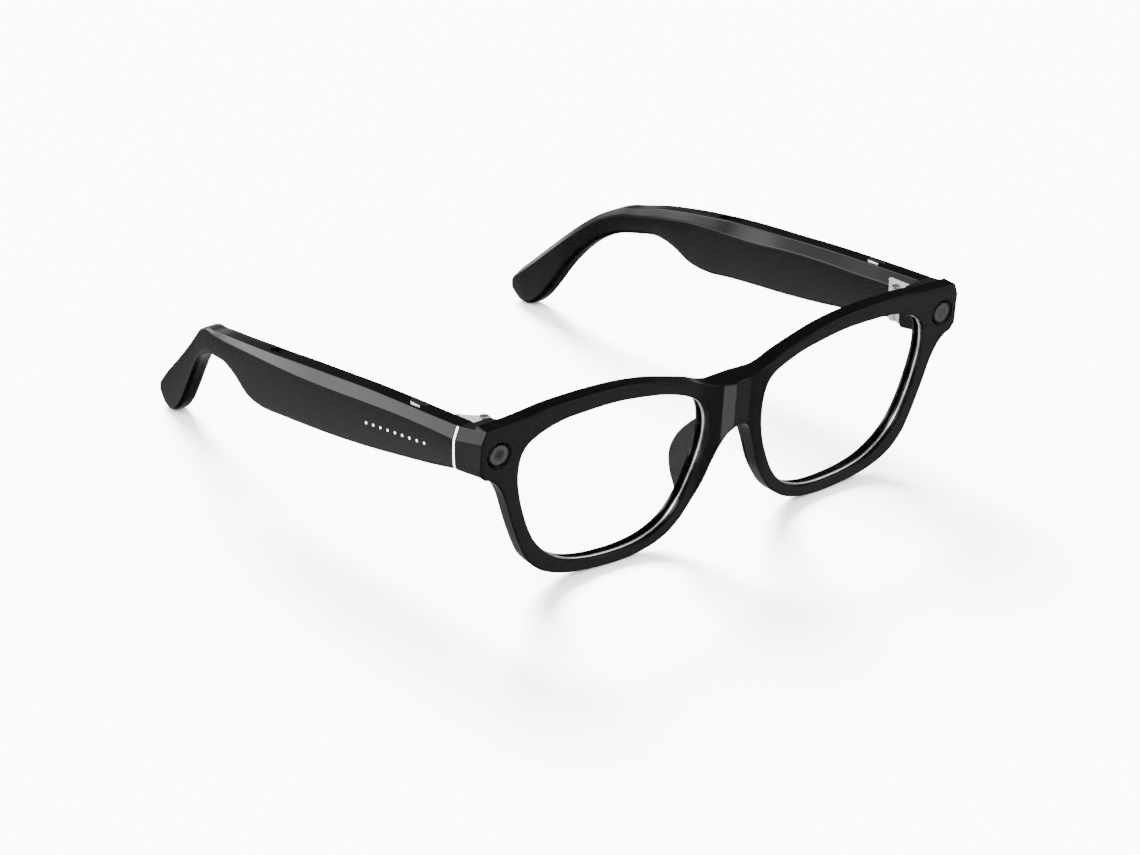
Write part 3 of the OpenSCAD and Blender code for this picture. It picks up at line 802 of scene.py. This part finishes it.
def detail_group():
    """Shared surface detail from object coordinates: fine grain, handling marks and hairlines.
    Scales are per metre."""
    g = bpy.data.node_groups.new("surface_detail", "ShaderNodeTree")
    g.interface.new_socket("Vector", in_out="INPUT", socket_type="NodeSocketVector")
    for name in ("Grain", "Marks", "Hairlines"):
        g.interface.new_socket(name, in_out="OUTPUT", socket_type="NodeSocketFloat")
    inside, out = g.nodes.new("NodeGroupInput"), g.nodes.new("NodeGroupOutput")
    where = inside.outputs["Vector"]
    grain = node(g, "TexNoise", Vector=where, Scale=9000.0, Detail=2.0)
    marks = node(g, "TexNoise", Vector=where, Scale=140.0, Detail=4.0, Roughness=0.6)
    turned = node(g, "Mapping", Vector=where, Rotation=(0.4, 0.9, 0.3), Scale=(60, 5200, 900))
    lines = node(g, "TexNoise", Vector=turned.outputs[0], Scale=1.0, Detail=1.0)
    socket(g, out.inputs["Grain"], grain.outputs[0])
    socket(g, out.inputs["Marks"], ramp(g, marks.outputs[0], 0.35, 0.72))
    socket(g, out.inputs["Hairlines"], ramp(g, lines.outputs[0], 0.66, 0.74))
    return g


DETAIL = detail_group()


def new_material(name):
    """A material: its tree, its shader, the shared detail's outputs, and object coordinates."""
    m = bpy.data.materials.new(name)
    m.use_nodes = True
    tree = m.node_tree
    where = node(tree, "TexCoord").outputs["Object"]
    detail = tree.nodes.new("ShaderNodeGroup")
    detail.node_tree = DETAIL
    socket(tree, detail.inputs["Vector"], where)
    return m, tree, tree.nodes["Principled BSDF"], detail.outputs, where


def bump(tree, shader, strength, distance, height):
    """Fine relief on a shader; distance in metres."""
    n = node(tree, "Bump", Strength=strength, Distance=distance, Height=height)
    socket(tree, shader.inputs["Normal"], n.outputs[0])


def moulded(name, dark, light, rough_low, rough_high, grain=0.02):
    """Moulded plastic: colour and roughness vary with handling marks, with a fine grain."""
    m, tree, shader, detail, _ = new_material(name)
    socket(tree, shader.inputs["Base Color"], mix_color(tree, detail["Marks"], dark, light))
    rough = ramp(tree, detail["Marks"], 0, 1, rough_low, rough_high)
    rough = calc(tree, "MULTIPLY_ADD", detail["Hairlines"], 0.03, rough)
    socket(tree, shader.inputs["Roughness"], rough)
    bump(tree, shader, grain, 0.000005, detail["Grain"])
    return m


def metal(name, color, rough, polish=1.0):
    """Plated metal with fine brush lines and a slight stain; less polish scatters more light."""
    m, tree, shader, detail, where = new_material(name)
    stretched = node(tree, "Mapping", Vector=where, Scale=(400, 400, 24000))
    lines = node(tree, "TexNoise", Vector=stretched.outputs[0], Scale=1.0, Detail=3.0).outputs[0]
    stained = tuple(0.82 * c for c in color[:3]) + (1,)
    socket(tree, shader.inputs["Base Color"], mix_color(tree, detail["Marks"], color, stained))
    socket(tree, shader.inputs["Roughness"], ramp(tree, lines, 0.3, 0.7, rough, rough + 0.05))
    shader.inputs["Metallic"].default_value = polish
    bump(tree, shader, 0.03, 0.000002, lines)
    return m


def clear_glass(name):
    """Clear lens: nearly invisible face on, with a faint sheen towards its edges."""
    m, tree, shader, detail, _ = new_material(name)
    shader.inputs["Base Color"].default_value = grey(0.02)
    socket(tree, shader.inputs["Roughness"], ramp(tree, detail["Marks"], 0, 1, 0.01, 0.05))
    sheen = node(tree, "LayerWeight", Blend=0.12).outputs["Fresnel"]
    socket(tree, shader.inputs["Alpha"], calc(tree, "MULTIPLY_ADD", sheen, 0.25, 0.012))
    return m


def window_disc(name, iris, pupil, field):
    """Disc with rings by distance from its middle: pupil, iris, field and dark edge."""
    m, tree, shader, detail, where = new_material(name)
    low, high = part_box(name)
    offset = node(tree, "VectorMath", where, tuple((low + high) / 2), _operation="SUBTRACT")
    flattened = node(tree, "VectorMath", offset.outputs[0], (1 / MM, 0.2 / MM, 1 / MM),
                     _operation="MULTIPLY")
    radius = node(tree, "VectorMath", flattened.outputs[0], _operation="LENGTH").outputs["Value"]
    color = mix_color(tree, ramp(tree, radius, 1.25, 1.6), iris, field)
    color = mix_color(tree, ramp(tree, radius, 0.5, 0.85), pupil, color)
    color = mix_color(tree, ramp(tree, radius, 2.2, 2.5), color, grey(0.004))
    socket(tree, shader.inputs["Base Color"], color)
    socket(tree, shader.inputs["Roughness"], ramp(tree, detail["Marks"], 0, 1, 0.08, 0.2))
    shader.inputs["Coat Weight"].default_value = 0.3
    shader.inputs["Coat Roughness"].default_value = 0.1
    return m


def circuit_board(name):
    """Green solder mask with fine traces."""
    m, tree, shader, detail, where = new_material(name)
    traces = node(tree, "TexBrick", Vector=where, Scale=900.0, Color1=(0.01, 0.09, 0.04, 1),
                  Color2=(0.015, 0.12, 0.05, 1), Mortar=(0.05, 0.2, 0.08, 1))
    socket(tree, shader.inputs["Base Color"], traces.outputs[0])
    socket(tree, shader.inputs["Roughness"], ramp(tree, detail["Marks"], 0, 1, 0.3, 0.5))
    return m


black = moulded("black_shell", grey(0.0006), grey(0.0008), 0.1, 0.12)
matte = moulded("satin_pad", grey(0.009), grey(0.0105), 0.35, 0.45, grain=0.06)
bezel = moulded("bezel", grey(0.0015), grey(0.003), 0.2, 0.3)
button_top = moulded("button_top", grey(0.002), grey(0.004), 0.2, 0.3)
white = moulded("white_marks", grey(0.75), grey(0.8), 0.35, 0.45)
# bright band: the seam plates' own colour, and also a painted highlight on the push-buttons' long sides
white_band = moulded("bright_band", grey(0.8), grey(0.86), 0.2, 0.3)
silver = metal("silver", grey(0.92), 0.16, polish=0.94)
hinge_metal = metal("hinge_metal", grey(0.85), 0.25, polish=0.88)
screw_steel = metal("screw_steel", grey(0.5), 0.3, polish=0.98)
gold = metal("contacts", (0.85, 0.62, 0.25, 1), 0.18)
foil = metal("battery_foil", grey(0.7), 0.3)
grille_metal = metal("grille", grey(0.02), 0.35)
board = circuit_board("circuit_board")
glass = clear_glass("clear_lens")
light_disc = window_disc("light_window", grey(0.004), grey(0.0015), grey(0.011))
camera_disc = window_disc("camera_window", grey(0.006), (0.005, 0.007, 0.012, 1), grey(0.009))

MATERIAL_OF = {
    "black_shell": black, "bright_ring": silver, "clear_lens": glass, "pad": matte,
    "window_glass": bezel, "bezel": bezel, "circuit_board": board, "light": white,
    "seam_metal": white_band, "hinge_metal": hinge_metal, "battery_foil": foil, "speaker": matte,
    "grille": grille_metal, "small_metal": silver, "button": button_top, "marks": white,
    "contacts": gold}


def dress(part):
    """Material of one node of the model, and slightly rounded edges on the hinges."""
    obj = NODES[part["node"]]
    obj.data.materials.clear()
    is_screw = "screw" in part["node"]
    obj.data.materials.append(screw_steel if is_screw else MATERIAL_OF[part["material_slot"]])
    if "hinge" in part["node"]:
        edge = obj.modifiers.new("edge", "BEVEL")
        edge.width, edge.segments, edge.limit_method = 0.07 * MM, 2, "ANGLE"
        edge.angle_limit = math.radians(40)


# ---- the object ----

for part in frame["record"]["subparts"]:
    dress(part)
build_front(black)
for side in (-1, 1):
    build_temple(side, black)
    push_button(side, button_top, white_band)
    seam_plate(side, white_band, black)
    lens(side, glass)
    lens_ring(side, silver)
    nose_pad(side, matte)
window(-1, bezel, light_disc)
window(1, bezel, camera_disc)
touch_dots(white)
charging_land(black)


# ---- floor, light, camera ----

def floor_plane():
    """Pale matt floor that shows no reflections."""
    mesh = bpy.data.meshes.new("floor")
    mesh.from_pydata([(-4, -4, 0), (4, -4, 0), (4, 4, 0), (-4, 4, 0)], [], [(0, 1, 2, 3)])
    floor = linked("floor", mesh)
    m = bpy.data.materials.new("floor")
    m.use_nodes = True
    shader = m.node_tree.nodes["Principled BSDF"]
    shader.inputs["Base Color"].default_value = grey(0.9)
    shader.inputs["Roughness"].default_value = 1.0
    shader.inputs["Specular IOR Level"].default_value = 0.0
    mesh.materials.append(m)
    floor.visible_glossy = False


# Soft boxes seen in reflections: azimuth and elevation in degrees, their spreads, brightness.
# Azimuth 0 is straight ahead of the front, and 90 is the wearer's left.
SOFT_BOXES = [
    (-155, 5, 30, 9, 4.2),       # behind, at the right, low: the temples' outer bevels
    (-146, 32, 26, 9, 6.0),      # above that: the edges over the bevels
    (150, -44, 45, 18, 0.35),    # behind, from the floor: undersides and the rims' outer walls
    (0, -5, 400, 9, 0.4),        # all round at the horizon: upright faces
    (-135, -30, 36, 14, 0.75),   # behind, at the right, from the floor: the temples' sides
    (43, -30, 30, 16, 0.42),     # ahead, at the left, from the floor: the front face
    (-6, -34, 8, 12, 3.2),       # straight ahead, from the floor: the bridge's side
    (55, 45, 30, 16, 2.4),       # ahead, at the left, high: the brow's edges
]
AMBIENT = 4.2                   # brightness for everything but reflections
DARK = 0.015                    # brightness of reflections between the soft boxes


def studio():
    """World: even light for surfaces, and soft boxes by direction for reflections.
    Each box adds b exp(-(daz/s)^2 - (del/t)^2) of azimuth and elevation."""
    world = bpy.data.worlds.new("studio")
    bpy.context.scene.world = world
    world.use_nodes = True
    tree = world.node_tree
    way = node(tree, "SeparateXYZ", node(tree, "TexCoord").outputs["Generated"]).outputs
    azimuth = calc(tree, "ARCTAN2", way[0], calc(tree, "MULTIPLY", way[1], -1.0))
    elevation = calc(tree, "ARCSINE", way[2])
    total = DARK
    for box_azimuth, box_elevation, width, height, brightness in SOFT_BOXES:
        across = calc(tree, "SUBTRACT", azimuth, math.radians(box_azimuth))
        across = calc(tree, "WRAP", across, math.pi, -math.pi)
        across = calc(tree, "DIVIDE", across, math.radians(width))
        up = calc(tree, "SUBTRACT", elevation, math.radians(box_elevation))
        up = calc(tree, "DIVIDE", up, math.radians(height))
        square = calc(tree, "MULTIPLY_ADD", across, across, calc(tree, "MULTIPLY", up, up))
        fall = calc(tree, "EXPONENT", calc(tree, "MULTIPLY", square, -1.0))
        total = calc(tree, "MULTIPLY_ADD", fall, brightness, total)
    glossy = node(tree, "LightPath").outputs["Is Glossy Ray"]
    strength = calc(tree, "MULTIPLY_ADD", calc(tree, "SUBTRACT", total, AMBIENT), glossy, AMBIENT)
    background = tree.nodes["Background"]
    background.inputs["Color"].default_value = grey(1)
    socket(tree, background.inputs["Strength"], strength)


def key_light():
    """Broad low light from behind, which throws short pale shadows forwards on the floor."""
    data = bpy.data.lights.new("key", "SUN")
    data.energy, data.angle = 52, math.radians(24)
    lamp = linked("key", data)
    lamp.location = (0.38, 0.85, 0.55)
    lamp.rotation_euler = (-lamp.location).to_track_quat("-Z", "Y").to_euler()
    lamp.visible_glossy = False


CAMERA_AT = Vector((-658.1, -817.2, 446.5)) * MM
LOOK_AT = Vector((-34.7, -56.4, 30.4)) * MM
CAMERA_ROLL = math.radians(-0.15)


def make_camera():
    """Long lens from ahead and above on the wearer's right."""
    camera = linked("camera", bpy.data.cameras.new("camera"))
    camera.data.sensor_width = 36
    camera.data.lens = 142.1
    camera.data.clip_start, camera.data.clip_end = 0.01, 20
    camera.location = CAMERA_AT
    camera.rotation_mode = "QUATERNION"
    aim = (LOOK_AT - CAMERA_AT).to_track_quat("-Z", "Y")
    camera.rotation_quaternion = aim @ Quaternion((0, 0, 1), CAMERA_ROLL)
    bpy.context.scene.camera = camera


floor_plane()
studio()
key_light()
make_camera()
